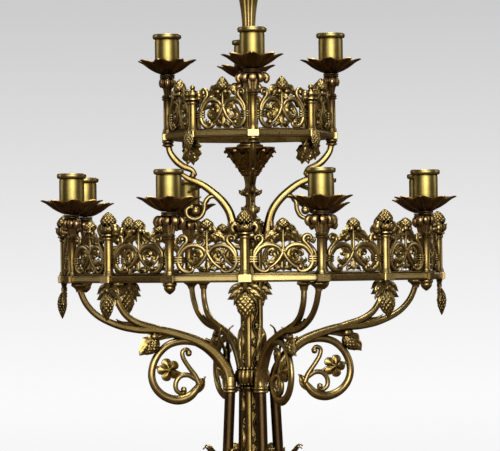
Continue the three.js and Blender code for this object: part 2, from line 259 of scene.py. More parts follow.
def lathe(shape, profile, cols, bend=None, rows=None, wrap=False):
    """A turned body about Z. bend(radius, height, angle) gives new radii and heights as arrays."""
    profile = np.asarray(profile, float)
    if rows:
        path = curve(profile, rows)[:, :2]
        profile = np.maximum(path, [0, -1e9])
    phi = np.arange(cols) * TAU / cols
    r = np.broadcast_to(profile[:, :1], (len(profile), cols))
    z = np.broadcast_to(profile[:, 1:], r.shape)
    if bend:
        r, z = bend(r, z, np.broadcast_to(phi, r.shape))
    rings = np.stack([r * np.sin(phi), -r * np.cos(phi), z * np.ones_like(r)], axis=2)
    return skin(shape, rings, wrap_rows=wrap)


def leaf(shape, points, width, thick, lobes=0, count=22, lie=True):
    """A veined leaf along a curve. lie spreads it in the drawing; otherwise it spreads across the drawing."""
    path = curve(points, count)
    _, normal, across = frames(path)
    spread, rise = (normal, across) if lie else (across, normal)
    s = np.linspace(0, 1, count)
    w = width * np.sin(math.pi * np.clip(0.12 + 0.88 * s, 0, 1)) ** 0.8
    if lobes:
        w = w * (0.78 + 0.3 * np.abs(np.sin(math.pi * lobes * s)))
    w = np.maximum(w, 0.04 * width)
    u = np.concatenate([np.linspace(-1, 1, 9), np.linspace(0.75, -0.75, 7)])
    top = np.arange(16) < 9
    rib = 0.55 * np.exp(-((u / 0.16) ** 2))
    hump = np.sqrt(np.maximum(1 - u**2, 0))
    vein = 0.16 * np.cos(TAU * (4 * s[:, None] - 1.2 * np.abs(u)[None]))
    face = thick * (hump * (0.6 + vein) + rib)
    height = np.where(top[None], face, -face)
    fade = (0.35 + 0.65 * np.sin(math.pi * np.clip(s, 0.02, 0.98)))[:, None]
    rings = path[:, None] + (w[:, None] * u)[:, :, None] * spread[:, None]
    rings = rings + (height * fade)[:, :, None] * rise[:, None]
    return skin(shape, rings)


def rosette(shape, reach, height, back, rows=9, cols=84):
    """A flat casting, closed at the back: reach(angle) is its outline and height(share, angle) its face."""
    phi = np.arange(cols) * TAU / cols
    share = np.linspace(0.03, 1, rows)
    out = reach(phi)
    flat = share[:, None] * out
    rise = height(share[:, None], phi[None]) + 0 * flat
    face = np.stack([flat * np.cos(phi), flat * np.sin(phi), rise], axis=2)
    rear = face[::-1].copy()
    rear[:, :, 2] = -back * (1 - 0.5 * share[::-1, None] ** 2)
    return skin(shape, np.concatenate([face, rear]))


def pinecone(shape, base, tip, radius, scales, turns, depth, blunt, rows=34, cols=54):
    """An upright cone of overlapping diamond scales, from height base to height tip."""
    t = np.linspace(0.015, 0.985, rows)
    phi = np.arange(cols) * TAU / cols
    body = radius * np.sin(math.pi * t**blunt) ** 0.75
    a = scales * phi[None] / TAU + turns * t[:, None]
    b = scales * phi[None] / TAU - turns * t[:, None]
    scale = np.sqrt(np.abs(np.sin(math.pi * a) * np.sin(math.pi * b)))
    r = body[:, None] * (1 - depth + 1.6 * depth * scale)
    z = base + (tip - base) * t[:, None] * np.ones_like(r)
    return skin(shape, np.stack([r * np.sin(phi), -r * np.cos(phi), z], axis=2))


# ---------------------------------------------------------------- materials


class Nodes:
    """A small helper that makes and links shader nodes."""

    def __init__(self, name):
        self.material = bpy.data.materials.new(name)
        self.material.use_nodes = True
        self.tree = self.material.node_tree
        self.shader = self.tree.nodes["Principled BSDF"]

    def make(self, kind, **values):
        node = self.tree.nodes.new(kind)
        for key, value in values.items():
            if hasattr(node, key):
                setattr(node, key, value)
            else:
                node.inputs[key.replace("_", " ").title()].default_value = value
        return node

    def link(self, start, end):
        self.tree.links.new(start, end)

    def ramp(self, value, stops):
        node = self.tree.nodes.new("ShaderNodeValToRGB")
        ramp = node.color_ramp
        while len(ramp.elements) < len(stops):
            ramp.elements.new(0.5)
        for element, (at, colour) in zip(ramp.elements, stops):
            element.position, element.color = at, (*colour, 1)
        self.link(value, node.inputs["Fac"])
        return node.outputs["Color"]

    def mix(self, factor, first, second):
        node = self.tree.nodes.new("ShaderNodeMix")
        node.data_type = "RGBA"
        for socket, value in ((node.inputs[0], factor), (node.inputs[6], first), (node.inputs[7], second)):
            if isinstance(value, (float, int)):
                socket.default_value = value
            elif isinstance(value, tuple):
                socket.default_value = (*value, 1)
            else:
                self.link(value, socket)
        return node.outputs[2]

    def maths(self, operation, first, second):
        node = self.tree.nodes.new("ShaderNodeMath")
        node.operation, node.use_clamp = operation, True
        for socket, value in zip(node.inputs, (first, second)):
            if isinstance(value, (float, int)):
                socket.default_value = value
            else:
                self.link(value, socket)
        return node.outputs[0]


def grey(value):
    return (value, value, value)


def brass(name, bright, olive, copper, patina_and_shade, shine, hollow, pits):
    """Old brass: worn bright on edges, golden to olive on faces, dark brown in hollows, partly as patina and
    partly as painted shade, and darkened underneath as painted shade.
    """
    n = Nodes(name)
    place_of = n.make("ShaderNodeTexCoord").outputs["Object"]
    patches = n.make("ShaderNodeTexNoise", scale=38.0, detail=5.0, roughness=0.6)
    grain = n.make("ShaderNodeTexNoise", scale=620.0, detail=4.0, roughness=0.65)
    stains = n.make("ShaderNodeTexNoise", scale=120.0, detail=6.0, roughness=0.7)
    for texture in (patches, grain, stains):
        n.link(place_of, texture.inputs["Vector"])
    tone = n.mix(n.ramp(patches.outputs["Fac"], [(0.36, grey(0)), (0.64, grey(1))]), olive, bright)
    tone = n.mix(n.ramp(stains.outputs["Fac"], [(0.56, grey(0)), (0.72, grey(0.55))]), tone, copper)
    shape = n.make("ShaderNodeNewGeometry")
    wear = n.ramp(shape.outputs["Pointiness"], [(0.505, grey(0)), (0.56, grey(0.7))])
    tone = n.mix(wear, tone, tuple(min(1.0, 1.25 * c + 0.04) for c in bright))
    # Hollows found by ambient occlusion turn dark brown: partly the patina that old brass holds there, partly
    # painted shade.
    closed = n.make("ShaderNodeAmbientOcclusion", samples=6)
    closed.inputs["Distance"].default_value = 0.013
    recess = n.ramp(closed.outputs["AO"], [(hollow - 0.32, grey(1)), (hollow, grey(0))])
    # Faces that look down are darkened the same way: this is painted shade underneath.
    down = n.make("ShaderNodeSeparateXYZ")
    n.link(shape.outputs["Normal"], down.inputs[0])
    under = n.maths("MULTIPLY", down.outputs["Z"], -1.0)
    patina_and_shade_mask = n.maths("MAXIMUM", recess, under)
    patina_and_shade_patchy = n.maths("MULTIPLY", patina_and_shade_mask, n.ramp(stains.outputs["Fac"], [(0.25, grey(0.8)), (0.6, grey(1))]))
    n.link(n.mix(patina_and_shade_patchy, tone, patina_and_shade), n.shader.inputs["Base Color"])
    gloss = n.ramp(grain.outputs["Fac"], [(0.3, grey(shine)), (0.75, grey(shine + 0.14))])
    n.link(n.mix(patina_and_shade_patchy, gloss, grey(0.38)), n.shader.inputs["Roughness"])
    bump = n.make("ShaderNodeBump")
    bump.inputs["Strength"].default_value = pits
    bump.inputs["Distance"].default_value = 0.0004
    n.link(n.mix(0.5, grain.outputs["Color"], stains.outputs["Color"]), bump.inputs["Height"])
    n.link(bump.outputs["Normal"], n.shader.inputs["Normal"])
    n.shader.inputs["Metallic"].default_value = 1.0
    return n.material


CAST = brass(
    "antique_cast_brass", bright=(0.61, 0.465, 0.185), olive=(0.36, 0.245, 0.06), copper=(0.44, 0.19, 0.08),
    patina_and_shade=(0.026, 0.012, 0.004), shine=0.24, hollow=0.93, pits=0.14,
)
WORN = brass(
    "worn_coppery_brass", bright=(0.62, 0.43, 0.20), olive=(0.37, 0.235, 0.07), copper=(0.48, 0.21, 0.09),
    patina_and_shade=(0.030, 0.012, 0.005), shine=0.22, hollow=0.93, pits=0.12,
)
POLISHED = brass(
    "old_polished_brass", bright=(0.52, 0.42, 0.19), olive=(0.42, 0.33, 0.085), copper=(0.38, 0.22, 0.07),
    patina_and_shade=(0.035, 0.018, 0.006), shine=0.29, hollow=0.78, pits=0.03,
)
# Darker brass for the drip pans. On the calyx it stands partly for painted shade under the upper gallery.
PAN = brass(
    "dark_pan_brass", bright=(0.52, 0.33, 0.10), olive=(0.20, 0.115, 0.034), copper=(0.17, 0.055, 0.022),
    patina_and_shade=(0.026, 0.009, 0.0035), shine=0.22, hollow=0.96, pits=0.12,
)
BRONZE = brass(
    "dark_bronze", bright=(0.11, 0.065, 0.024), olive=(0.06, 0.034, 0.012), copper=(0.08, 0.034, 0.016),
    patina_and_shade=(0.016, 0.008, 0.004), shine=0.28, hollow=0.80, pits=0.08,
)
STEEL = brass(
    "dull_steel", bright=(0.42, 0.41, 0.39), olive=(0.30, 0.29, 0.27), copper=(0.30, 0.17, 0.10),
    patina_and_shade=(0.05, 0.035, 0.025), shine=0.34, hollow=0.80, pits=0.3,
)

# ---------------------------------------------------------------- putting pieces in place


STAND = "stand"


def put(name, mesh, node, matrix=None, material=CAST, body=STAND, slot="cast_brass"):
    """One piece: a mesh, the CAD node it stands for, its place, its material and its body. slot is not used.
    """
    if not mesh.materials:
        mesh.materials.append(material)
    piece = bpy.data.objects.new(name, mesh)
    bpy.context.scene.collection.objects.link(piece)
    if matrix is not None:
        piece.matrix_world = matrix
    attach(piece, body)
    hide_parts(node)


def put_round(tag, mesh, angles, node, **choices):
    """Copies of one mesh at these angles, each in the place of its numbered node."""
    for i, angle in enumerate(angles):
        put(f"{node}_{i + 1}_{tag}", mesh, f"{node}_{i + 1}", place(angle), **choices)


# ---------------------------------------------------------------- sconces

PETALS = 8
PAN_R = 32.4
PAN_RISE = 15.8
PAN_NOTCH = 10.4  # how far the rim comes in between two petals
HUB_R = 7.4
CUP_HEIGHT = span("sconce_1")[1] - span("sconce_1")[0] + SEAT_GAP
CUP_BORE = 11.4
CUP_BODY = 12.8
CUP_RIM = 15.1
CUP_FLOOR = 12.0


def pan_shape(turn):
    """A drip pan like an open flower: pointed petals with a ridge between each two, turned on its thread."""
    cols, rows, wall = 176, 20, 1.1
    phi = np.arange(cols) * TAU / cols
    # tip is 0 on a petal's midline and 1 between two petals; along runs from the flat hub to the rim
    tip = np.abs((((phi - turn) * PETALS / TAU + 0.5) % 1) - 0.5) * 2
    edge = PAN_R - PAN_NOTCH * tip**1.05
    share = np.linspace(0, 1, rows)[:, None]
    r = 3.2 + (edge - 3.2) * share
    along = np.clip((r - HUB_R) / (PAN_R - HUB_R), 0, 1)
    z = 0.4 + PAN_RISE * (0.95 * along + 0.4 * along**2 - 0.35 * along**3)
    z = z - 2.6 * np.clip((along - 0.72) / 0.28, 0, 1) ** 2
    ridge = 1.3 * tip**5 * np.clip(along * 1.5, 0, 1)
    belly = 1.7 * (1 - tip**2) * np.sin(math.pi * np.clip(along, 0, 1))
    crease = 0.9 * np.exp(-((tip / 0.10) ** 2)) * np.clip(along * 2, 0, 1) * (1 - 0.5 * along)
    lip = 1.0 * np.clip(share - 0.90, 0, 1) / 0.10
    low = z + ridge - belly - crease + lip
    high = low + wall + 0.5 * (1 - share) - 0.35 * np.clip(share - 0.93, 0, 1) / 0.07
    under = np.stack([r * np.sin(phi), -r * np.cos(phi), low], axis=2)
    upper = np.stack([r * np.sin(phi), -r * np.cos(phi), high], axis=2)[::-1]
    return skin(Shape(), np.concatenate([under, upper]), wrap_rows=True)


def cup_shape():
    """The turned candle cup with its banded rim, and the boss that it stands on."""
    profile = [
        (3, 2.4), (8, 2.4), (9.2, 4), (10.2, 6), (11.8, 7), (13.3, 7.6), (13.6, 8.4), (13, 9.2),
        (CUP_BODY, 10.2), (CUP_BODY, 22),
    ]
    profile += lift(
        CUP_HEIGHT, (CUP_BODY, -7.4), (12.5, -6.6), (12.4, -6), (13, -5.4), (14.3, -5), (14.9, -4.2),
        (CUP_RIM, -3), (CUP_RIM, -1.8), (14.8, -0.8), (14.1, -0.15), (13.2, 0), (12, -0.2),
        (CUP_BORE, -1),
    )
    profile += [(CUP_BORE, 30), (CUP_BORE, 13), (10.8, CUP_FLOOR), (3, CUP_FLOOR)]
    return lathe(Shape(), profile, cols=72, wrap=True)


PAN_TURN = 0.7  # each pan stops at its own angle on its thread
CUP_MESH = cup_shape().mesh("candle_cup", sharp=32)
for number in range(1, 14):
    low, high = box(f"sconce_{number}")
    x, y = (low[:2] + high[:2]) / 2
    seat = Matrix.Translation(Vector((x, y, low[2] - SEAT_GAP)) * MM)
    body = f"candle_holder_{number}"
    node = f"sconce_{number}"
    pan = pan_shape(PAN_TURN * number).mesh("drip_pan", sharp=42)
    put(f"drip_pan_{number}", pan, node, seat, PAN, body, "polished_brass")
    put(f"candle_cup_{number}", CUP_MESH, node, seat, POLISHED, body, "polished_brass")

# ---------------------------------------------------------------- posts

STUD_R = 2.5
STUD_HEIGHT = 11.0
SHAFT_R = 4.4


def fluted(count, depth):
    """A bend for lathe that gives a turned body this many shallow ribs."""
    return lambda r, z, a: (r * (1 + depth * np.cos(count * a)), z)


def capital_shape(seat):
    """The leaf capital, wide along the gallery and narrow across it, over its fluted bell."""
    leaves = Shape()
    side = lift(seat, (4.6, -18.5), (6.4, -12), (9.4, -7.2), (12.8, -6.6), (14.8, -9.6), (13.8, -12.6))
    short = lift(seat, (4.6, -17), (6.2, -11), (8.4, -7), (10.8, -6.6), (12.2, -9.2), (11.2, -11.6))
    for points, radius, angles in (
        (side, 1, (0, 180)), (short, 0.92, (42, 138, 222, 318)), (short, 0.8, (90, 270)),
    ):
        thick = [radius * r for r in (1.2, 1.7, 2.3, 2.9, 3.2, 2.7)]
        one = sweep(Shape(), points, thick, sides=18, flat=1.5, reeds=6, depth=0.12, count=28)
        for angle in angles:
            leaves.join(one, moved(turn=angle + 90) @ RADIAL)
    bell = lift(seat, (8, -4.2), (8.8, -6), (8.2, -9), (7.4, -14), (6.2, -18), (5.3, -21.6))
    lathe(leaves, bell, cols=80, bend=fluted(10, 0.07), rows=16)
    return leaves


def stud(shape, seat):
    """The end of the threaded stud, which a sconce turns on."""
    end = seat + STUD_HEIGHT
    lathe(shape, [(STUD_R, seat - 1), (STUD_R, end - 0.5), (STUD_R - 0.5, end)], cols=24)


def candle_post_shape(seat, foot, drop=None):
    """A candle post about its own axis, without its capital, from the sconce's seat to its foot on the rail.
    drop is the height of the rail's underside, if an acorn hangs there."""
    shape = Shape()
    neck = lift(
        seat, (7.2, 0), (7.9, -0.3), (8.2, -1), (7.8, -1.8), (6.9, -2.1), (7.9, -2.5), (8.2, -3.2),
        (7.6, -4), (6.4, -4.3),
    )
    lathe(shape, neck, cols=40)
    shaft = lift(
        seat, (5, -21.4), (5.4, -22.6), (5.9, -23), (6.3, -23.7), (5.9, -24.4), (5, -24.9),
        (5.7, -25.4), (6.1, -26.1), (5.7, -26.8), (4.8, -27.3), (SHAFT_R, -28),
    )
    shaft += lift(foot, (SHAFT_R, 5), (4.9, 4.4), (5.4, 3.6), (5.4, 2), (6, 1.5), (6, 0.3))
    lathe(shape, shaft, cols=32)
    stud(shape, seat)
    if drop is not None:
        acorn = lift(
            drop, (5.4, -0.2), (6.9, -0.6), (7.1, -1.6), (6.6, -3.2), (5.6, -4), (5.9, -5), (5.2, -7.2),
            (3.4, -9.4), (1.8, -10.6), (1, -11.4),
        )
        lathe(shape, acorn, cols=32, rows=26)
    return shape


def leaf_ring(shape, count, points, width, thick, lobes=0, turn=0.0):
    """Equal leaves round Z, each drawn in the radial plane."""
    one = leaf(Shape(), points, width, thick, lobes=lobes, lie=False)
    for i in range(count):
        shape.join(one, moved(turn=360 * i / count + turn) @ RADIAL)
    return shape


def side_curls(shape, points, radius, knob):
    """A curled leaf on each side of a post, in the plane of the frieze, that ends in a round tip."""
    for side in (-1, 1):
        path = [(side * x, y) for x, y in points]
        one = sweep(Shape(), path, radius, sides=14, flat=1.35, count=26)
        ball(one, *path[-1], 0, knob, rows=10, cols=16)
        shape.join(one, FACING)
    return shape


def finial_post_shape(foot, neck, tall, ball_top):
    """The ornamental post in the middle of a frieze casting: shaft, mouldings and a pinecone or a ball.
    neck and tall are the heights of its upper ring and its tip above its foot."""
    shape = Shape()
    crown, tip = foot + neck, foot + tall
    shaft = lift(foot, (6.2, 0.3), (6.2, 1.2), (5.6, 1.8), (5.6, 3.4), (5, 4.2), (SHAFT_R + 0.2, 5))
    shaft += lift(
        crown, (SHAFT_R + 0.2, -6.6), (5.2, -6.2), (5.6, -5), (5.4, -3.6), (4.8, -3), (6.4, -2.6),
        (7.4, -1.6), (7.3, -0.6), (6.4, 0), (6, 1.2), (6.8, 3.2), (6.6, 6.2), (4.6, 9.2), (3, 10.4),
    )
    if ball_top:
        shaft[-3:] = lift(crown, (6, 3.6), (4.4, 6.4), (2.2, 8.4), (1.7, 9.6))
    lathe(shape, shaft, cols=40)
    if ball_top:
        knob = tip - 2.8
        lathe(shape, lift(knob, (1.7, -4.4), (2.4, -3.6), (1.8, -2.8), (1.6, -2)), cols=20)
        ball(shape, 0, 0, knob, 2.8, rows=12, cols=20)
        curl = lift(crown, (3.6, -0.6), (5.6, 3.6), (8.4, 5), (10.2, 2.4), (8.8, -0.4))
        side_curls(shape, curl, [2.2, 2.6, 2.6, 2.3], 3.2)
        leaf_ring(shape, 6, lift(crown, (4.6, 0), (6.6, 3), (6.6, 6.4), (8.2, 8.2)), 3.4, 1.1)
        return shape
    base = crown + 9.0
    pinecone(shape, base - 2.4, tip, 8, scales=10, turns=3.4, rows=48, cols=90, blunt=0.68, depth=0.12)
    leaf_ring(shape, 8, lift(crown, (5.6, 0), (7.6, 3.2), (8.2, 6.8), (9.6, 8.6)), 4, 1.3)
    curl = lift(crown, (4.4, 0.2), (7, 6), (10.2, 7.6), (12.4, 4.4), (11, 0.6))
    side_curls(shape, curl, [2.4, 3, 3.1, 2.8], 3.4)
    return shape


def capital_mesh(name, seat):
    """A leaf capital, drawn round and then made narrow across the gallery."""
    return Shape().join(capital_shape(seat), np.diag([1, 0.62, 1, 1])).mesh(name, sharp=45)


def dress_posts(name, level, meshes, angles):
    """The candle posts of a gallery, which take these meshes in turn, and their capitals."""
    capital = capital_mesh(f"{name}_capital", level["seat"])
    for i, angle in enumerate(angles):
        node = f"{name}_candle_post_{i + 1}"
        spot = place(angle, level["radius"])
        put(f"{node}_turned", meshes[i % len(meshes)], node, spot)
        put(f"{node}_capital", capital, node, spot, WORN)


plain = candle_post_shape(LOWER["seat"], LOWER["top"]).mesh("lower_candle_post_plain", sharp=40)
dropped = candle_post_shape(LOWER["seat"], LOWER["top"], LOWER["bottom"])
dropped = dropped.mesh("lower_candle_post_dropped", sharp=40)
upper_post = candle_post_shape(UPPER["seat"], UPPER["top"]).mesh("upper_candle_post", sharp=40)
dress_posts("lower", LOWER, (plain, dropped), [LOWER["first"] + 45 * i for i in range(8)])
dress_posts("upper", UPPER, (upper_post,), UPPER_ARM_ANGLES)

# ---------------------------------------------------------------- frieze panels

DRAWN_HALF, DRAWN_TALL = 30, 29.0  # the size that the scrolls of a panel are drawn at


def half_panel(shape, half, low, high):
    """The right half of a frieze panel in the drawing plane, from its middle to the clasp beside a post.
    half is where the clasp sits, low and high the bottom and the top of the big scroll."""
    k = (high - low) / DRAWN_TALL
    c = half / DRAWN_HALF
    at = lambda pairs: [(c * u, low + k * v) for u, v in pairs]
    strand = [
        (-1, 17), (1.2, 20.5), (5.4, 26.4), (13.5, 29), (21.5, 27), (27, 20.6), (29.6, 13.4), (28.4, 6.6),
        (23.6, 1.8), (18, 0.8), (14.6, 3.6), (16.4, 6.4),
    ]
    sweep(
        shape, at(strand), [1.7, 2.1, 2.5, 2.8, 2.8, 2.6, 2.6, 2.5, 2.2, 1.8], sides=12, flat=0.85,
        count=56,
    )
    ball(shape, *at([(17.2, 5.6)])[0], 0.6, 2.7)
    sweep(
        shape, at([(-1, 23), (1, 19.5), (3.6, 14.6), (8.2, 9), (14, 4.6)]), [2.2, 2.2, 2.1, 1.8, 1.3],
        flat=0.95, count=20,
    )
    hook = [
        (29.8, 14), (28.8, 22), (24.6, 28.2), (20.8, 33), (21.4, 37.6), (25.4, 39.2), (28.4, 36.8),
        (27, 33.8),
    ]
    sweep(shape, at(hook), [1.9, 2.3, 2.4, 2.4, 2.1, 1.9, 1.7], flat=0.95, count=36)
    ball(shape, *at([(25.2, 35.6)])[0], 0.8, 2.5)
    inner = [(2.8, 18.4), (5.6, 13.6), (10.6, 10.2), (15.4, 10.6), (18.6, 13.4), (17.4, 16.4)]
    leaf(shape, at(inner), 3.6 * k, 1.8, lobes=3, count=26)
    curl = [(13.5, 11.4), (8.6, 13.2), (6.8, 18.2), (8.6, 22.6), (12.8, 22.8), (14.6, 19.4), (12.2, 17.6)]
    leaf(shape, at(curl), 4.3 * k, 2, lobes=4, count=30)
    ball(shape, *at([(12.4, 18.6)])[0], 1.2, 1.7)
    for v in (16.4, 13.9, 11.4):
        x, y = at([(29.6, v)])[0]
        sweep(shape, [(x - 3.4, y), (x, y), (x + 4.2, y)], 1.45, sides=10, flat=1.7, count=5)
    spray = [(1.5, 40), (6.5, 41.2), (12.5, 38.6), (16.8, 34.6), (18.8, 31.6)]
    leaf(shape, at(spray), 4.4 * k, 1.8, lobes=3, count=24)
    leaf(shape, at([(0.5, 37), (4, 38.6), (7.8, 36), (8.4, 32.4)]), 3.8 * k, 1.8, lobes=2, count=18)
    leaf(shape, at([(0.8, 3.4), (4, 4.6), (6.8, 3), (8.4, 0.6)]), 2.5 * k, 1.7, lobes=1, count=14)
    return shape


def panel_shape(half, low, high, cone_base, cone_tip, cone_r):
    """A whole pierced panel: two mirrored halves, the stem between them and the pinecone crest."""
    shape = Shape()
    right = half_panel(Shape(), half, low, high)
    shape.join(right).join(right, moved(scale=(-1, 1, 1)))
    k = (high - low) / DRAWN_TALL
    stalk = lift(low, (0, 19 * k), (0, 28 * k))
    stalk += lift(cone_base, (0, 2))
    sweep(shape, stalk, [1.7, 1.4, 1.9], count=10)
    leaf(shape, lift(low, (0, 1.2), (0, 6 * k), (0, 13 * k)), 3.2, 1.4, lobes=2, count=14)
    sweep(shape, lift(low, (-half - 2, -1.4), (0, -1.4), (half + 2, -1.4)), 1.2, flat=1.7, count=6)
    cone = pinecone(Shape(), cone_base, cone_tip, cone_r, scales=9, turns=3.4, blunt=0.8, depth=0.13)
    shape.join(cone, FACING.T)
    for side in (-1, 1):
        droop = lift(cone_base, (0, 0), (side * 4.5, 2.5), (side * 7.4, -1), (side * 7.2, -5))
        leaf(shape, droop, 3.6, 2, lobes=2)
        ball(shape, side * 4, cone_base + 0.4, 2.4, 2.8)
    return shape


def drop_shape(leaves, lobes, grape_r, top, tip, ahead):
    """A bunch of grapes under a post, with lobed leaves behind it, from the rail's underside down.
    leaves holds each leaf's points on one side and its width. top and tip are the bunch's ends, and ahead
    is how far it stands in front of the leaves."""
    shape = Shape()
    for points, width in leaves:
        for side in (-1, 1):
            leaf(shape, [(side * x, y) for x, y in points], width, 1.9, lobes=lobes, count=24)
    leaf(shape, [(0, -1.5), (0, -7), (0, -12)], 3, 2.2, count=14)
    sweep(shape, [(0, 0.5), (0, -3), (0, -7)], [4.6, 3.4, 2], flat=0.8, sides=14, count=8)
    tall = top - tip
    bunch = pinecone(Shape(), 0, tall, grape_r, scales=8, turns=4.5, depth=0.2, rows=44, cols=64, blunt=1.2)
    hang = np.array([[1, 0, 0, 0], [0, 0, 1, tip], [0, -0.55, 0, ahead], [0, 0, 0, 1]], float)
    return Shape().join(shape.join(bunch, hang), FACING)


CLASP_GAP = 8.4  # from a post's axis to the clasp that holds the panel


def panel_mesh(level, high, cone):
    """Mesh of one panel of a gallery, standing in its own plane at the front."""
    half_side = level["radius"] * math.sin(math.pi / level["corners"])
    apothem = level["radius"] * math.cos(math.pi / level["corners"])
    crest = [level["top"] + c for c in cone[:2]]
    panel = panel_shape(half_side - CLASP_GAP, level["top"] + 2.4, level["top"] + high, *crest, cone[2])
    whole = Shape().join(panel, moved(y=-apothem) @ FACING)
    return whole.mesh("frieze_panel", sharp=45)


LOWER_PANEL = panel_mesh(LOWER, 29.5, (44.5, 56.2, 6.8))
UPPER_PANEL = panel_mesh(UPPER, 31.8, (39, 55.3, 6.4))
LOWER_FINIAL = finial_post_shape(LOWER["top"], 42.1, 64.4, False).mesh("pinecone_post", sharp=45)
UPPER_FINIAL = finial_post_shape(UPPER["top"], 33.5, 47.2, True).mesh("ball_post", sharp=45)
VINE_LEAVES = [
    ([(0.5, -4), (5, -8), (11, -13), (17.6, -16.6)], 4.4), ([(1, -2), (6, -3.6), (12, -6.6), (17, -11)], 3.6),
    ([(1, -6), (5, -13), (9.4, -18.5), (11.4, -22.6)], 3.4),
]
ROUND_LEAVES = [
    ([(1, -4), (5, -6.6), (9, -8.4), (13, -8.6)], 4.6),
    ([(0, -7), (4.6, -12), (8.6, -15.4), (13, -16.6)], 7.2),
    ([(0, -9), (2.6, -15), (4.2, -20), (4.8, -23.6)], 5.4),
]
VINE = drop_shape(VINE_LEAVES, 1, 8.6, -9, -38, 2.2).mesh("vine_drop", sharp=60)
CONE_DROP = drop_shape(ROUND_LEAVES, 0, 5.8, 8, -14, 5.6).mesh("cone_drop", sharp=60)


def dress_frets(name, level, panel, finial, drop, first):
    """Each frieze casting: a panel on either side of its post, the post itself and the drop below it.
    first counts corners from the first candle post to the first ornamental one."""
    step = level["step"]
    for i in range(level["corners"] // 2):
        angle = level["first"] + (2 * i + first) * step
        node = f"{name}_fret_{i + 1}"
        for tag, turn in (("left", -step / 2), ("right", step / 2)):
            put(f"{node}_panel_{tag}", panel, node, place(angle + turn))
        put(f"{node}_post", finial, node, place(angle, level["radius"]))
        hang = place(angle, level["radius"] + 1, level["bottom"] - SEAT_GAP)
        put(f"{node}_drop", drop, node, hang)


dress_frets("lower", LOWER, LOWER_PANEL, LOWER_FINIAL, VINE, -1)
dress_frets("upper", UPPER, UPPER_PANEL, UPPER_FINIAL, CONE_DROP, 1)

# ---------------------------------------------------------------- rails


def block(shape, size, tall, radius, height, angle):
    """A square corner block with chamfered edges, facing outwards at this angle."""
    h, c = size / 2, 0.7  # half a side, and the chamfer
    square = lambda s: [(-s, -h), (s, -h), (h, -s), (h, s), (s, h), (-s, h), (-h, s), (-h, -s)]
    full, small = np.array(square(h - c)), np.array(square(h - 2 * c)) * (h - c) / h
    levels = ((small, -tall / 2), (full, -tall / 2 + c), (full, tall / 2 - c), (small, tall / 2))
    rings = [np.column_stack([outline, np.full(8, z)]) for outline, z in levels]
    a = math.radians(angle)
    matrix = moved(radius * math.sin(a), -radius * math.cos(a), height, turn=angle)
    return shape.join(skin(Shape(), rings), matrix)


def rail_shape(level, block_size, lugs):
    """A gallery rail: the moulded ring with mitred corners, its corner blocks and the arms' seats."""
    shape = Shape()
    r, low, tall = level["radius"], level["bottom"], level["top"] - level["bottom"]
    section = [(r + x, low + y * tall) for x, y in RAIL_SECTION]
    ring = lathe(Shape(), section, cols=level["corners"], wrap=True)
    shape.join(ring, moved(turn=level["first"]))
    for i in range(level["corners"]):
        block(shape, block_size, tall + 0.6, r, low + tall / 2, level["first"] + level["step"] * i)
    for angle in lugs:
        bar = [(r - 4, 0), (r - 30, 0), (LUG_R + 4, 0)]
        one = sweep(Shape(), bar, [6.4, 5.4, 6.8], sides=12, count=12)
        thin = np.diag([1, 0.36, 1, 1])
        shape.join(one, moved(z=low + 2.6, turn=angle) @ RADIAL @ thin)
    return shape


LUG_R = 142.0
RAIL_SECTION = [
    (-6.6, 0.08), (-6, 0), (3.6, 0), (4.4, 0.1), (4.6, 0.22), (5.4, 0.28), (5.4, 0.78), (4.7, 0.84),
    (4.5, 0.93), (3.9, 1), (-6, 1), (-6.6, 0.92),
]
lower_rail = rail_shape(LOWER, 14, ARM_ANGLES).mesh("lower_rail", sharp=19)
upper_rail = rail_shape(UPPER, 12.2, []).mesh("upper_rail", sharp=19)
put("lower_gallery_rail_moulded", lower_rail, "lower_gallery_rail")
put("upper_gallery_rail_moulded", upper_rail, "upper_gallery_rail")

# ---------------------------------------------------------------- scroll arms

ROOT = end_ring("stay_rod_1", True)
ROOT_R, ROOT_Z = math.hypot(ROOT[0], ROOT[1]), ROOT[2]
STEM_R = 188.5  # how far out the arm's stem meets the rail
BRANCH_R = 148.8  # how far out its inner branch meets the rail's seat


def flower(shape, x, y, reach, petals, face):
    """A round-petalled flower on both faces of a planar casting."""
    outline = lambda a: reach * (0.56 + 0.44 * np.abs(np.cos(petals * a / 2)) ** 0.42)

    def height(share, a):
        petal = np.abs(np.cos(petals * a / 2))
        heart = 1.9 * np.exp(-((share / 0.2) ** 2))
        return 1.6 + 1.5 * np.sin(math.pi * share) * petal + heart - 1.1 * share

    for side in (1, -1):
        one = rosette(Shape(), outline, height, back=0.4, rows=10)
        shape.join(one, moved(x, y, side * face) @ np.diag([1, 1, float(side), 1]))
    return shape


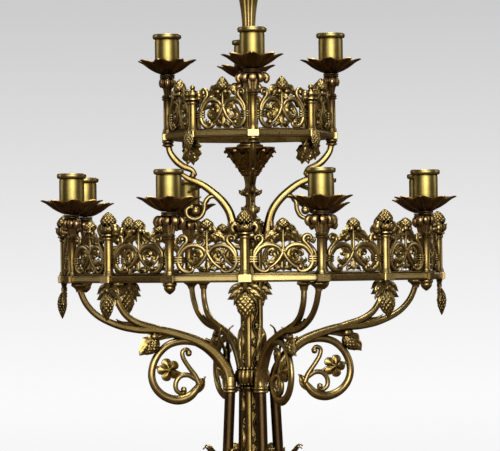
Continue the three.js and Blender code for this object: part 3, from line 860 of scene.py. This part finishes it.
def scroll_arm_shape():
    """One lower arm in the radial drawing plane, with its socket's middle at the origin's X."""
    shape = Shape()
    stem = [
        (25, 268), (26, 276), (28.5, 285), (34, 294), (43.5, 305), (57, 314.5), (76, 322), (101, 328.5),
        (125, 330), (147, 334.5), (168, 344), (181, 356.5), (187.5, 370), (STEM_R, 376.5),
    ]
    sweep(
        shape, stem, [6.6, 6.6, 6, 5.4, 5, 4.6, 4.2, 3.9, 3.7, 3.4, 3.2, 3.2, 3.2], sides=24, flat=0.86,
        reeds=6, depth=0.16, count=90,
    )
    branch = [(92, 326), (108, 331), (124, 335.8), (136.5, 343), (144, 352), (148, 362), (BRANCH_R, 377)]
    sweep(
        shape, branch, [3.6, 3.9, 3.8, 3.5, 3.4, 3.3, 3.3], sides=20, flat=0.86, reeds=6, depth=0.14,
        count=44,
    )
    big = [
        (41, 300), (50, 310.5), (63, 315.5), (78, 317), (92, 313.8), (103, 305), (109.6, 293.5),
        (111.4, 281), (107.5, 269.5), (98, 260.4), (84, 256), (70.5, 259.2), (62, 267.5), (57, 276.5),
    ]
    sweep(
        shape, big, [3.4, 3.8, 3.8, 3.8, 3.9, 3.9, 3.9, 3.9, 4, 4.2, 4.6, 5, 4.2, 1.8], sides=18,
        flat=0.8, reeds=4, depth=0.1, count=90,
    )
    leaf(shape, [(64, 262), (58, 270), (54.5, 277.5), (51.5, 279.5)], 4.4, 2.2, lobes=1, count=16)
    hook = [(59, 271), (63.5, 280.5), (71, 290.5), (76.4, 299), (77.4, 305.8), (72.6, 308.4), (69, 305.4)]
    sweep(shape, hook, [3.2, 2.9, 2.6, 2.5, 2.5, 2.4, 2], sides=14, flat=0.9, count=40)
    ball(shape, 70.6, 304.2, 0, 3.4)
    inner = [(63, 277), (71, 281.5), (79.4, 280.8), (84.8, 274.6), (84.6, 266.6), (79, 262.6), (75, 264.8)]
    sweep(shape, inner, [2.6, 2.7, 2.7, 2.7, 2.6, 2.4, 2], sides=14, flat=0.9, count=40)
    ball(shape, 76.4, 266.6, 0, 3.3)
    sweep(shape, [(76, 281), (81, 284), (87, 287)], [1.7, 1.5, 1.5], sides=10, count=12)
    sweep(shape, [(100, 289), (105, 290.5), (110, 290)], [1.5, 1.5, 1.7], sides=10, count=8)
    flower(shape, 93, 287.6, 12.2, 5, 0.6)
    # the bud, vine leaf and grapes under the fork
    leaf(shape, [(88, 322), (98, 323.5), (107, 320.5), (113, 316.5)], 4.2, 2.6, lobes=1, count=18)
    ball(shape, 108, 322.4, 0, 4.6, flat=0.8)
    leaf(shape, [(104, 324), (112, 317), (119, 310), (124.5, 303)], 8.6, 2.2, lobes=3, count=26)
    bunch = pinecone(Shape(), 0, 22, 6.4, scales=8, turns=4, depth=0.2, rows=28, cols=40, blunt=0.8)
    lay = Matrix.Translation((103, 318, 0)) @ Matrix.Rotation(math.radians(-130), 4, "Z")
    shape.join(bunch, np.array(lay @ Matrix.Rotation(math.radians(-90), 4, "X")))
    # leaf tips at the forks and against the column
    leaf(shape, [(121, 331), (133, 334), (143, 336.5), (150, 341.5)], 3.4, 2.4, lobes=1, count=16)
    leaf(
        shape, [(27, 287), (26, 303), (27.5, 317), (25.5, 328), (20.5, 332.5)], 4.4, 1.6, lobes=3, count=24,
        lie=False,
    )
    leaf(
        shape, [(31, 292), (31, 306), (34.5, 316), (36.5, 324), (33.5, 330)], 3.6, 1.5, lobes=2, count=20,
        lie=False,
    )
    for x, z, width in ((25, 270, 5.2), (27.5, 284, 5), (38, 300, 4.6)):
        spray = lift(z, (x, 0), (x + 5.5, 7.5), (x + 9, 15), (x + 14, 19))
        leaf(shape, spray, width, 3.2, lobes=2, count=18, lie=False)
    return shape


def socket_shape():
    """The ringed socket that drops over a stay rod."""
    profile = lift(
        ROOT_Z, (5.8, -2.5), (7.2, -2.2), (7.9, -1), (7.4, 0.2), (6.9, 0.8), (7.5, 1.6), (7.8, 2.8),
        (7.2, 3.8), (6.5, 4.6), (6.6, 8), (6.2, 14),
    )
    return lathe(Shape(), profile, cols=36)


def arm_mesh():
    whole = Shape().join(scroll_arm_shape(), RADIAL)
    whole.join(socket_shape(), moved(y=-ROOT_R))
    under = LOWER["bottom"] - SEAT_GAP
    for r, wide in ((STEM_R, 8.6), (BRANCH_R, 7.2)):
        flange = lift(
            under, (3.6, -9), (4.2, -6.5), (wide - 2.4, -4.4), (wide, -2.6), (wide, -1), (wide - 0.6, 0),
        )
        whole.join(lathe(Shape(), flange, cols=40, rows=14, bend=fluted(8, 0.05)), moved(y=-r))
    return whole.mesh("scroll_arm", sharp=55)


put_round("cast", arm_mesh(), ARM_ANGLES, "scroll_arm")


def upper_arm_mesh():
    """One arm under the upper gallery, in the radial drawing plane."""
    shape = Shape()
    under = UPPER["bottom"] - SEAT_GAP
    out = UPPER["radius"]
    reeded = {"sides": 20, "flat": 0.95, "reeds": 6, "depth": 0.14}
    outer = [
        (out, under - 3), (out - 0.6, 521), (out - 2.6, 513.5), (out - 9, 505), (70, 499.6), (61.6, 496),
        (58.2, 491),
    ]
    sweep(shape, outer, [3, 3.1, 3.4, 3.6, 3.4, 3, 2.4], count=44, **reeded)
    ball(shape, 60.4, 489.6, 0, 3.5, rows=10, cols=16)
    inner = [
        (75, 494), (66, 487.4), (58.5, 484), (50, 480), (40.4, 473), (30.4, 463.6), (22.6, 452),
        (18.6, 438), (17.4, 428),
    ]
    sweep(shape, inner, [1.6, 3, 3.6, 3.9, 4.1, 4.2, 4.3, 4.5, 4.8], count=60, **reeded)
    tail = [(66, 471.6), (61, 475.4), (55, 477.4), (49, 478)]
    leaf(shape, tail, 2.6, 2.4, count=18)
    curl = [
        (35, 467.6), (42.4, 467.6), (47.6, 461.8), (48.8, 453.4), (52.4, 446.6), (59.6, 444), (66.4, 447.6),
        (67, 454.4), (62, 457.6),
    ]
    sweep(shape, curl, [2.2, 2.6, 2.6, 2.5, 2.4, 2.3, 2.1, 1.9, 1.6], sides=16, count=60)
    ball(shape, 57.6, 452.4, 0, 4.6, flat=0.8, rows=12, cols=20)
    ball(shape, 61.6, 456.4, 0, 2.4)
    leaf(shape, [(43, 468), (46, 463), (50, 461), (53.6, 463.4)], 2.4, 2, count=14)
    flange = lift(
        under, (3.2, -7), (4, -6.4), (5.9, -5.6), (6.1, -4.4), (5, -3.4), (5.4, -2.6), (6.2, -1.8),
        (6.1, -0.4), (5.6, 0),
    )
    whole = Shape().join(shape, RADIAL)
    whole.join(lathe(Shape(), flange, cols=36), moved(y=-out))
    dome = lambda s, a: 3.2 - 2.4 * s**2 + 0.9 * np.exp(-(((s - 0.72) / 0.12) ** 2))
    button = rosette(Shape(), lambda a: 6.4 + 0 * a, dome, back=1, cols=40)
    whole.join(button, moved(y=-21.5, z=437) @ FACING)
    block_foot = [(4.6, 423), (6.4, 424), (6.8, 427), (5.4, 429.6), (4.6, 431)]
    whole.join(lathe(Shape(), block_foot, cols=32), moved(y=-17.3))
    return whole.mesh("upper_arm", sharp=55)


put_round("cast", upper_arm_mesh(), UPPER_ARM_ANGLES, "upper_arm")

# ---------------------------------------------------------------- column and central ornaments


def column_shape():
    """The relief-cast column: four panels of wavy vine between four plain engaged shafts."""
    foot, top = span("main_column")
    cols, rows = 160, 420
    phi = np.arange(cols) * TAU / cols
    z = np.linspace(foot, top, rows)[:, None]
    facet = ((phi * 4 / TAU + 0.25) % 1) * 2 - 1  # -1 to 1 across each relief panel's quarter
    share = 0.62  # of a quarter that its panel takes
    leaf_pitch = 17
    panel = np.clip((share - np.abs(facet)) / 0.06, 0, 1)
    across = facet / share
    wave = 0.42 * np.sin(TAU * z / (2 * leaf_pitch))
    vine = np.exp(-(((across - wave) / 0.16) ** 2))
    cell = (z / leaf_pitch) % 1
    left = np.where(np.floor(z / leaf_pitch) % 2 == 0, 1, -1)
    du, dv = across + 0.34 * left, (cell - 0.5) * 2.1
    lobes = 0.62 + 0.26 * np.cos(5 * np.arctan2(dv, du * 1.3))
    blade = np.clip(1 - (du**2 * 2.2 + dv**2) / (lobes**2 * 0.8), 0, 1) ** 0.5
    relief = panel * (2.3 * np.maximum(vine, blade) - 1.7)
    shaft = (1 - panel) * (1.2 * np.sqrt(np.clip(1 - ((1 - np.abs(facet)) / 0.38) ** 2, 0, 1)))
    r = RELIEF_R + relief + shaft
    mid = COLLAR_Z[0]
    swell = 2.4 * np.exp(-(((z - mid + 3) / 2.2) ** 2)) + 3.2 * np.exp(-(((z - foot - 2) / 3) ** 2))
    swell = swell + 2.6 * np.exp(-(((z - top + 2.4) / 2) ** 2))
    r = np.where(z > mid, r - 0.4, r) + swell
    return skin(Shape(), np.stack([r * np.sin(phi), -r * np.cos(phi), z * np.ones_like(r)], axis=2))


RELIEF_R = 11.6
COLLAR_Z = span("arm_collar")
COLLAR_R = (box("arm_collar")[1][0] - box("arm_collar")[0][0]) / 2


def gadroons(r, z, a):
    return r - 1.5 * (1 - np.abs(np.cos(10 * a))) * np.clip((r - 13) / 4, 0, 1), z


def collar_shape():
    """The gadrooned collar between two rings of beads."""
    low, high = COLLAR_Z
    shape = Shape()
    tall = high - low
    body = lift(low, (12.4, 0.3), (15.5, 1.2), (17.2, 3.4), (COLLAR_R - 0.6, tall * 0.45))
    body += lift(high, (17.6, -4.6), (14.6, -2.8), (12.4, -2.2))
    lathe(shape, body, cols=168, rows=28, bend=gadroons)
    for height, radius, size, count in ((high - 1.8, 15.2, 1.75, 22), (low + 0.9, 15.4, 1.3, 26)):
        for a in TAU * np.arange(count) / count:
            ball(shape, radius * math.sin(a), -radius * math.cos(a), height, size, rows=6, cols=8)
    return shape


def spindle_shape():
    """The slender turned stem above the column, with two collars of spiky leaves."""
    bottom, top = span("upper_spindle")
    shape = Shape()
    profile = lift(
        bottom, (9.4, 0), (9.6, 1.4), (8, 2.6), (6.4, 5), (5.8, 7.6), (6.8, 9.6), (8.2, 11.6),
        (6.4, 14.4), (4.9, 17.6), (4.9, 23), (6.8, 26.6), (9.4, 29.4), (6.8, 32.4), (5.4, 36), (5.8, 41),
    )
    profile += lift(top, (6.8, -1), (6.8, 0))
    lathe(shape, profile, cols=64, rows=70, bend=fluted(8, 0.03))
    for height, reach in ((bottom + 11.4, 9.6), (bottom + 29.4, 11.9)):
        spike = lift(height, (4.6, -4.4), (6.8, -1.8), (reach - 1.6, 0.2), (reach, 2.6))
        leaf_ring(shape, 8, spike, 4.2, 2)
        droop = lift(height, (4.6, 3.2), (6.8, 1.4), (reach - 2.6, -0.6), (reach - 1.6, -3.2))
        leaf_ring(shape, 8, droop, 3.8, 1.8, turn=22.5)
    return shape


def calyx_shape():
    """The inverted cone of close leaves under the upper gallery."""
    bottom, top = span("calyx")
    tall = top - bottom
    shape = Shape()
    profile = [
        (6.6, 0), (8.6, 0.04), (8.8, 0.12), (10.6, 0.26), (13.6, 0.42), (17.6, 0.6), (21.4, 0.76),
        (24.6, 0.88), (26.4, 0.95), (26, 1), (18, 1), (9, 1),
    ]
    lathe(shape, [(r, bottom + share * tall) for r, share in profile], cols=128)
    tiers = ((7.6, 0.10, 0.7), (9.4, 0.24, 0.85), (12.4, 0.42, 1), (16.2, 0.58, 1.15), (20.2, 0.74, 1.2))
    for i, (r0, share, size) in enumerate(tiers):
        z = bottom + share * tall
        crocket = lift(
            z, (r0 - 1.4, -5.6 * size), (r0 + 0.6, -1.6 * size), (r0 + 2.6 * size, 1.8 * size),
            (r0 + 5.4 * size, 3.2 * size), (r0 + 6.8 * size, 1.6 * size),
        )
        leaf_ring(shape, 10, crocket, 4.6 * size, 1.9, lobes=2, turn=18 * (i % 2))
    return shape


def reeds(r, z, a):
    return r * (0.93 + 0.12 * np.abs(np.cos(5 * a)) ** 0.8), z


def stem_shape():
    """The reeded stem through the upper gallery, flaring to the seat of the thirteenth light."""
    bottom = span("fluted_stem")[0]
    seat = span("sconce_13")[0] - SEAT_GAP
    shape = Shape()
    foot = lift(
        bottom, (13.6, 0), (14, 1.6), (12.2, 3), (10.4, 3.8), (11.2, 5), (10.2, 6.6), (7.4, 8.4), (6.4, 11),
    )
    lathe(shape, foot, cols=48, rows=26)
    body = lift(bottom, (6, 9), (5.8, 30))
    body += lift(seat, (5.6, -110), (6.2, -70), (7.2, -46), (9, -30), (11.4, -18), (14.6, -11))
    lathe(shape, body, cols=120, rows=90, bend=reeds)
    ring = lift(seat, (5, -98), (7.6, -97.4), (8.4, -96), (7.6, -94.4), (5, -94))
    lathe(shape, ring, cols=40, rows=14)
    cap = lift(
        seat, (10, -14), (14.8, -12.6), (15.4, -10.6), (14.6, -9), (11, -7.6), (9.4, -6), (10.8, -4.4),
        (11.2, -2.6), (9.6, -0.8), (8.6, 0),
    )
    lathe(shape, cap, cols=48, rows=34)
    leaf_ring(shape, 8, lift(seat, (9, -26), (13, -17), (16.2, -13.4), (17.6, -17.5)), 4.6, 1, lobes=2)
    stud(shape, seat)
    return shape


put("main_column_relief", column_shape().mesh("column", sharp=60), "main_column")
put("arm_collar_gadrooned", collar_shape().mesh("collar", sharp=50), "arm_collar")
put("upper_spindle_leafed", spindle_shape().mesh("spindle", sharp=50), "upper_spindle")
# The calyx takes the darker pan brass, partly as painted shade under the upper gallery.
put("calyx_leafed", calyx_shape().mesh("calyx", sharp=50), "calyx", material=PAN)
put("fluted_stem_reeded", stem_shape().mesh("stem", sharp=50), "fluted_stem", slot="polished_brass")

# ---------------------------------------------------------------- stay rods


DECK_Z = 194.0  # top of the crown's deck


def rod_mesh():
    """A smooth round rod that leans in from its foot on the base crown to its top under the arm."""
    foot, top = end_ring("stay_rod_1", False), end_ring("stay_rod_1", True)
    points = [(math.hypot(*p[:2]), p[2]) for p in (foot, (foot + top) / 2, top)]
    shape = sweep(Shape(), points, 5.5, sides=32, count=12)
    ring = lathe(Shape(), [(5.4, 0), (7, 0.6), (7.4, 1.8), (6.8, 3), (5.4, 3.6)], cols=36, rows=12)
    whole = Shape().join(shape, RADIAL)
    whole.join(ring, moved(y=-points[0][0] + 0.6, z=DECK_Z + 2))
    return whole.mesh("stay_rod", sharp=50)


put_round("round", rod_mesh(), ARM_ANGLES, "stay_rod", material=BRONZE, slot="dark_bronze")

# ---------------------------------------------------------------- base


def base_shape():
    """The four-lobed foot: moulded plinth, gadrooned dome, leafy neck and four paw feet."""
    top = span("base_casting")[1]
    shape = Shape()
    outside = [
        (100, 20), (108, 20.4), (112, 22), (112.6, 24.5), (111, 27), (108.4, 28.4), (108.8, 30.2),
        (106.6, 32), (103, 33), (98, 35.4), (93, 39.4), (88, 42), (80, 46.5), (70, 56), (59, 68), (49, 81),
        (42, 94), (37, 107), (33.4, 118), (31, 125), (32.4, 127.4), (36, 129.6), (37.6, 133), (37.8, 137),
        (36, 140.6), (31.6, 142.6), (28.4, 145), (26.4, 149), (25.8, 155), (26.6, 160), (29.4, 163),
        (32.4, 165.4), (33, 168), (32, top), (20, top), (4.6, top),
    ]
    inside = [(4.6, 130), (24, 124), (33, 98), (54, 63), (84, 38), (96, 24)]

    def bend(r, z, a):
        lobe = 1 + 0.07 * np.cos(4 * a) * np.clip((r - 45) / 30, 0, 1)
        outer = np.clip((r - 40) / 6, 0, 1) * np.clip((96 - r) / 8, 0, 1) * (z > 40)
        ribs = 1.5 * np.abs(np.cos(12 * a)) ** 0.6 * outer
        knop = 1.4 * np.abs(np.cos(8 * a)) * np.exp(-(((z - 135) / 4.5) ** 2)) * (r > 30)
        return r * lobe + ribs + knop, z

    def paw(reach):
        foot = Shape()
        for off in (-8, 0, 8):
            lump = ball(Shape(), 0, 0, 0, 1, rows=12, cols=18)
            foot.join(lump, moved(off, -reach, 5.6, scale=(4.8, 8.0 - abs(off) * 0.2, 5.6)))
        heel = ball(Shape(), 0, 0, 0, 1, rows=14, cols=22)
        foot.join(heel, moved(0, -reach + 9, 9.4, scale=(12, 10, 9.4)))
        leg = [(reach - 12, 10), (reach - 5, 16), (reach - 6, 25), (reach - 12, 32)]
        foot.join(sweep(Shape(), leg, [8, 9.5, 11, 8], sides=20, count=16), RADIAL)
        return foot

    profile = np.concatenate([curve(outside, 150)[:, :2], inside])
    lathe(shape, profile, cols=240, bend=bend, wrap=True)
    one = paw(110)
    for angle in range(0, 360, 90):
        shape.join(one, moved(turn=angle))
    leaf_ring(shape, 8, [(38, 104), (44, 99), (54, 84), (66, 67), (82, 52), (92, 50)], 11, 1.6, lobes=4)
    for a in TAU * np.arange(64) / 64:
        r = 105 * (1 + 0.07 * math.cos(4 * a))
        ball(shape, r * math.sin(a), -r * math.cos(a), 33, 2, rows=5, cols=8)
    leaf_ring(shape, 8, [(24, 146), (27.5, 154), (31, 162), (35.6, 164)], 7, 1.2, lobes=2)
    return shape


def crown_shape():
    """The foliate crown on the foot, into whose deck the stay rods drop."""
    bottom = span("base_crown")[0]
    shape = Shape()
    profile = lift(bottom, (4.8, 0), (20, 0), (23.6, 1), (25, 4), (28.6, 9), (34, 14.6), (38.6, 19.4))
    profile += lift(DECK_Z, (40.4, -0.6), (39.4, 0), (24, 0), (4.8, 0))
    lathe(shape, profile, cols=128, wrap=True, bend=fluted(16, 0.03))
    outer = lift(bottom, (25, 3), (33, 12), (41.5, 22), (48, 31), (52.5, 35.6), (56, 33.6))
    leaf_ring(shape, 8, outer, 11, 1.5, lobes=4, turn=22.5)
    leaf_ring(shape, 8, lift(bottom, (30, 8), (36, 18), (41, 27), (46.5, 31.6)), 7.5, 1.3, lobes=3)
    return shape


put("base_casting_lobed", base_shape().mesh("base", sharp=50), "base_casting")
put("base_crown_leafed", crown_shape().mesh("crown", sharp=50), "base_crown")
for node in ("tie_rod", "base_nut"):
    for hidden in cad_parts[node].material_slots:
        hidden.material = STEEL

# ---------------------------------------------------------------- floor, light and camera

FLOOR_R = 2.6
MIDDLE_HEIGHT = 0.42  # that the soft boxes look at, in metres
FLOOR_BOUNCE = (0.16, 0.11, 0.08)  # what the metal sees of the floor, so that it stays dark underneath


def floor():
    """A pale disc to stand on."""
    ring = [(FLOOR_R * math.sin(TAU * i / 96), FLOOR_R * math.cos(TAU * i / 96), 0) for i in range(96)]
    mesh = bpy.data.meshes.new("floor")
    mesh.from_pydata(ring, [], [list(range(95, -1, -1))])
    n = Nodes("pale_floor")
    noise = n.make("ShaderNodeTexNoise", scale=3.0, detail=2.0)
    pale = n.ramp(noise.outputs["Fac"], [(0.3, grey(0.84)), (0.7, grey(0.87))])
    eye = n.make("ShaderNodeLightPath").outputs["Is Camera Ray"]
    n.link(n.mix(eye, FLOOR_BOUNCE, pale), n.shader.inputs["Base Color"])
    n.shader.inputs["Roughness"].default_value = 0.9
    mesh.materials.append(n.material)
    plane = bpy.data.objects.new("floor", mesh)
    bpy.context.scene.collection.objects.link(plane)


def softbox(name, azimuth, elevation, distance, size, power, colour):
    """A rectangular light that looks at the candelabra's middle from this side."""
    data = bpy.data.lights.new(name, "AREA")
    data.shape, data.size, data.size_y = "RECTANGLE", size[0], size[1]
    data.energy, data.color = power, colour
    lamp = bpy.data.objects.new(name, data)
    a, e = math.radians(azimuth), math.radians(elevation)
    back = Vector((math.sin(a) * math.cos(e), -math.cos(a) * math.cos(e), math.sin(e)))
    lamp.location = Vector((0, 0, MIDDLE_HEIGHT)) + back * distance
    lamp.rotation_euler = (-back).to_track_quat("-Z", "Y").to_euler()
    bpy.context.scene.collection.objects.link(lamp)


def studio():
    """A dim warm room for the metal to mirror, a pale backdrop for the eye, and soft boxes."""
    world = bpy.data.worlds.new("studio")
    bpy.context.scene.world = world
    world.use_nodes = True
    tree = world.node_tree
    tree.nodes.clear()
    new, link = tree.nodes.new, tree.links.new
    out, mix, path = new("ShaderNodeOutputWorld"), new("ShaderNodeMixShader"), new("ShaderNodeLightPath")
    seen, room = new("ShaderNodeBackground"), new("ShaderNodeBackground")
    coords, split = new("ShaderNodeTexCoord"), new("ShaderNodeSeparateXYZ")
    link(coords.outputs["Generated"], split.inputs[0])
    for background, stops in ((seen, BACKDROP), (room, ROOM)):
        level = new("ShaderNodeMapRange")
        level.inputs["From Min"].default_value = -1
        ramp = new("ShaderNodeValToRGB")
        for at, _ in stops[2:]:
            ramp.color_ramp.elements.new(at)
        for element, (at, colour) in zip(ramp.color_ramp.elements, stops):
            element.position, element.color = at, (*colour, 1)
        link(split.outputs["Z"], level.inputs["Value"])
        link(level.outputs["Result"], ramp.inputs["Fac"])
        link(ramp.outputs["Color"], background.inputs["Color"])
    link(path.outputs["Is Camera Ray"], mix.inputs["Fac"])
    link(room.outputs[0], mix.inputs[1])
    link(seen.outputs[0], mix.inputs[2])
    link(mix.outputs[0], out.inputs["Surface"])
    for light in LIGHTS:
        softbox(*light)
    bpy.context.scene.view_settings.view_transform = "Standard"


# Both gradients run from straight down at 0 to straight up at 1, with the horizon at 0.5.
BACKDROP = [
    (0.466, grey(0.92)), (0.476, grey(0.965)), (0.4936, grey(0.885)), (0.5195, grey(0.735)),
    (0.5455, grey(0.60)),
]
ROOM = [(0.30, (0.020, 0.010, 0.005)), (0.50, (0.032, 0.020, 0.012)), (0.80, (0.07, 0.06, 0.05))]
# Name, azimuth, elevation, distance, size, watts and colour of each soft box.
LIGHTS = [
    ("broad", 4, 12, 3.4, (4.4, 3.0), 60, (1.0, 0.97, 0.92)),
    ("core", 8, 15, 3.2, (1.5, 1.7), 27, (1.0, 0.97, 0.91)),
    ("side_left", -100, 16, 2.6, (1.0, 1.6), 5, (1.0, 0.93, 0.85)),
    ("side_right", 100, 16, 2.6, (1.0, 1.6), 5, (1.0, 0.93, 0.85)),
    ("back", 172, 26, 3.0, (1.4, 1.0), 18, (1.0, 0.97, 0.94)),
    ("top", 6, 76, 2.4, (1.0, 1.0), 24, (1.0, 0.98, 0.95)),
]

# The camera looks at the lower gallery from 3 m, a little round to the right of the front.
CAMERA = {
    "azimuth": 1.8, "distance": 3.0, "height": 0.3987, "lens": 205.7, "sensor": 36.0, "roll": -0.6,
    "pitch": 0.73,
}
AIM_ASIDE = -0.0008  # how far right of the column's axis the camera points, in metres


def camera():
    data = bpy.data.cameras.new("camera")
    data.lens, data.sensor_width, data.sensor_fit = CAMERA["lens"], CAMERA["sensor"], "HORIZONTAL"
    data.clip_start, data.clip_end = 0.05, 60
    eye = bpy.data.objects.new("camera", data)
    turn = [
        Matrix.Rotation(math.radians(CAMERA["azimuth"]), 4, "Z"),
        Matrix.Translation((AIM_ASIDE, -CAMERA["distance"], CAMERA["height"])),
        Matrix.Rotation(math.radians(90 + CAMERA["pitch"]), 4, "X"),
        Matrix.Rotation(math.radians(CAMERA["roll"]), 4, "Z"),
    ]
    eye.matrix_world = turn[0] @ turn[1] @ turn[2] @ turn[3]
    bpy.context.scene.collection.objects.link(eye)
    bpy.context.scene.camera = eye


floor()
studio()
camera()
